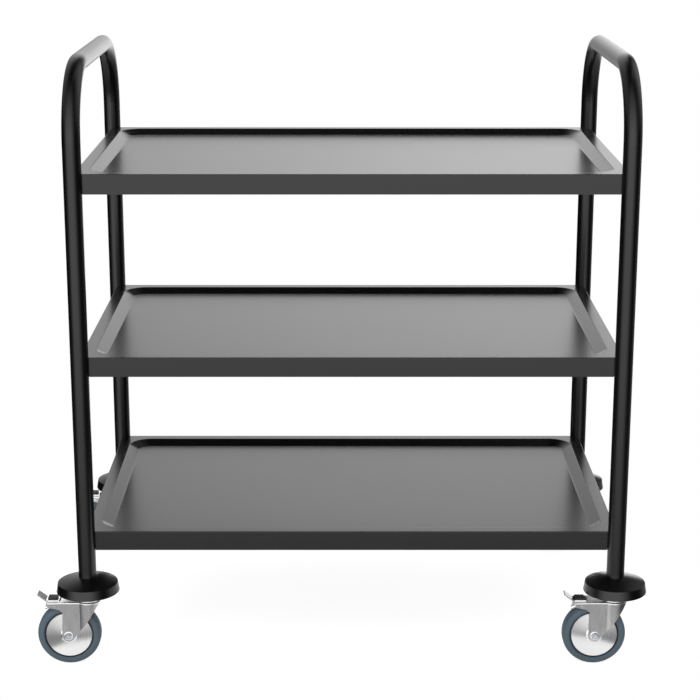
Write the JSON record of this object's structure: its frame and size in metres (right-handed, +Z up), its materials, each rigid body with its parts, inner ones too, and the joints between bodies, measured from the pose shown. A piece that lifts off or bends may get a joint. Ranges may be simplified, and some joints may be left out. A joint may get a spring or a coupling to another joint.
{
  "type": "serving cart",
  "caption": "Rolling cart with pressed tray shelves between two bent-tube side frames whose tops are handles, on braked swivel casters with round bumpers.",
  "frame": {"origin": "on the floor, at the middle of the whole cart's outline with every caster trailing to -X; the shelves' middle is 15.94 mm to +X of it", "axes": "+X to the right seen from the front, along the shelves' length; +Y to the back; +Z up"},
  "size_m": [0.964, 0.611, 0.9522],
  "materials": {
    "black_coat": "satin black powder coat on steel sheet and tube",
    "zinc_plate": "bright zinc plated pressed steel",
    "zinc_bolt": "zinc plated steel fasteners",
    "bearing_steel": "polished steel",
    "guard_steel": "round-brushed steel sheet",
    "bumper_plastic": "moulded black plastic, semi-gloss",
    "hub_plastic": "moulded dark polypropylene",
    "tyre_rubber": "blue-grey thermoplastic rubber",
    "pad_rubber": "moulded black rubber"
  },
  "bodies": {
    "cart": {"left_side_frame": "black_coat", "right_side_frame": "black_coat", "bottom_shelf": "black_coat", "middle_shelf": "black_coat", "top_shelf": "black_coat", "shelf_bolts": "zinc_bolt", "rivet_nuts": "zinc_bolt", "tube_inserts": "zinc_bolt", "front_left_bumper": "bumper_plastic", "front_left_swivel_head": "zinc_plate", "front_right_bumper": "bumper_plastic", "front_right_swivel_head": "zinc_plate", "rear_left_bumper": "bumper_plastic", "rear_left_swivel_head": "zinc_plate", "rear_right_bumper": "bumper_plastic", "rear_right_swivel_head": "zinc_plate"},
    "front_left_caster": {"front_left_fork": "zinc_plate", "front_left_swivel_balls": "bearing_steel", "front_left_axle_bolt": "zinc_bolt", "front_left_axle_nut": "zinc_bolt", "front_left_axle_bush": "bearing_steel", "front_left_thread_guards": "guard_steel", "front_left_pedal_pin": "zinc_bolt"},
    "front_left_wheel": {"front_left_wheel_hub": "hub_plastic", "front_left_tyre": "tyre_rubber"},
    "front_left_pedal": {"front_left_brake_pedal": "zinc_plate", "front_left_pedal_pad": "pad_rubber"},
    "front_right_caster": {"front_right_fork": "zinc_plate", "front_right_swivel_balls": "bearing_steel", "front_right_axle_bolt": "zinc_bolt", "front_right_axle_nut": "zinc_bolt", "front_right_axle_bush": "bearing_steel", "front_right_thread_guards": "guard_steel", "front_right_pedal_pin": "zinc_bolt"},
    "front_right_wheel": {"front_right_wheel_hub": "hub_plastic", "front_right_tyre": "tyre_rubber"},
    "front_right_pedal": {"front_right_brake_pedal": "zinc_plate", "front_right_pedal_pad": "pad_rubber"},
    "rear_left_caster": {"rear_left_fork": "zinc_plate", "rear_left_swivel_balls": "bearing_steel", "rear_left_axle_bolt": "zinc_bolt", "rear_left_axle_nut": "zinc_bolt", "rear_left_axle_bush": "bearing_steel", "rear_left_thread_guards": "guard_steel", "rear_left_pedal_pin": "zinc_bolt"},
    "rear_left_wheel": {"rear_left_wheel_hub": "hub_plastic", "rear_left_tyre": "tyre_rubber"},
    "rear_left_pedal": {"rear_left_brake_pedal": "zinc_plate", "rear_left_pedal_pad": "pad_rubber"},
    "rear_right_caster": {"rear_right_fork": "zinc_plate", "rear_right_swivel_balls": "bearing_steel", "rear_right_axle_bolt": "zinc_bolt", "rear_right_axle_nut": "zinc_bolt", "rear_right_axle_bush": "bearing_steel", "rear_right_thread_guards": "guard_steel", "rear_right_pedal_pin": "zinc_bolt"},
    "rear_right_wheel": {"rear_right_wheel_hub": "hub_plastic", "rear_right_tyre": "tyre_rubber"},
    "rear_right_pedal": {"rear_right_brake_pedal": "zinc_plate", "rear_right_pedal_pad": "pad_rubber"}
  },
  "joints": [
    {"name": "front_left_swivel", "type": "hinge", "parent": "cart", "child": "front_left_caster", "pos_m": [-0.40056, -0.256, 0.109], "axis": [0, 0, 1], "continuous": true},
    {"name": "front_left_wheel_spin", "type": "hinge", "parent": "front_left_caster", "child": "front_left_wheel", "pos_m": [-0.43196, -0.256, 0.05], "axis": [0, 1, 0], "continuous": true},
    {"name": "front_left_brake", "type": "hinge", "parent": "front_left_caster", "child": "front_left_pedal", "pos_m": [-0.45346, -0.256, 0.1008], "axis": [0, -1, 0], "range_deg": [0, 12]},
    {"name": "front_right_swivel", "type": "hinge", "parent": "cart", "child": "front_right_caster", "pos_m": [0.43244, -0.256, 0.109], "axis": [0, 0, 1], "continuous": true},
    {"name": "front_right_wheel_spin", "type": "hinge", "parent": "front_right_caster", "child": "front_right_wheel", "pos_m": [0.40104, -0.256, 0.05], "axis": [0, 1, 0], "continuous": true},
    {"name": "front_right_brake", "type": "hinge", "parent": "front_right_caster", "child": "front_right_pedal", "pos_m": [0.37954, -0.256, 0.1008], "axis": [0, -1, 0], "range_deg": [0, 12]},
    {"name": "rear_left_swivel", "type": "hinge", "parent": "cart", "child": "rear_left_caster", "pos_m": [-0.40056, 0.256, 0.109], "axis": [0, 0, 1], "continuous": true},
    {"name": "rear_left_wheel_spin", "type": "hinge", "parent": "rear_left_caster", "child": "rear_left_wheel", "pos_m": [-0.43196, 0.256, 0.05], "axis": [0, 1, 0], "continuous": true},
    {"name": "rear_left_brake", "type": "hinge", "parent": "rear_left_caster", "child": "rear_left_pedal", "pos_m": [-0.45346, 0.256, 0.1008], "axis": [0, -1, 0], "range_deg": [0, 12]},
    {"name": "rear_right_swivel", "type": "hinge", "parent": "cart", "child": "rear_right_caster", "pos_m": [0.43244, 0.256, 0.109], "axis": [0, 0, 1], "continuous": true},
    {"name": "rear_right_wheel_spin", "type": "hinge", "parent": "rear_right_caster", "child": "rear_right_wheel", "pos_m": [0.40104, 0.256, 0.05], "axis": [0, 1, 0], "continuous": true},
    {"name": "rear_right_brake", "type": "hinge", "parent": "rear_right_caster", "child": "rear_right_pedal", "pos_m": [0.37954, 0.256, 0.1008], "axis": [0, -1, 0], "range_deg": [0, 12]}
  ]
}
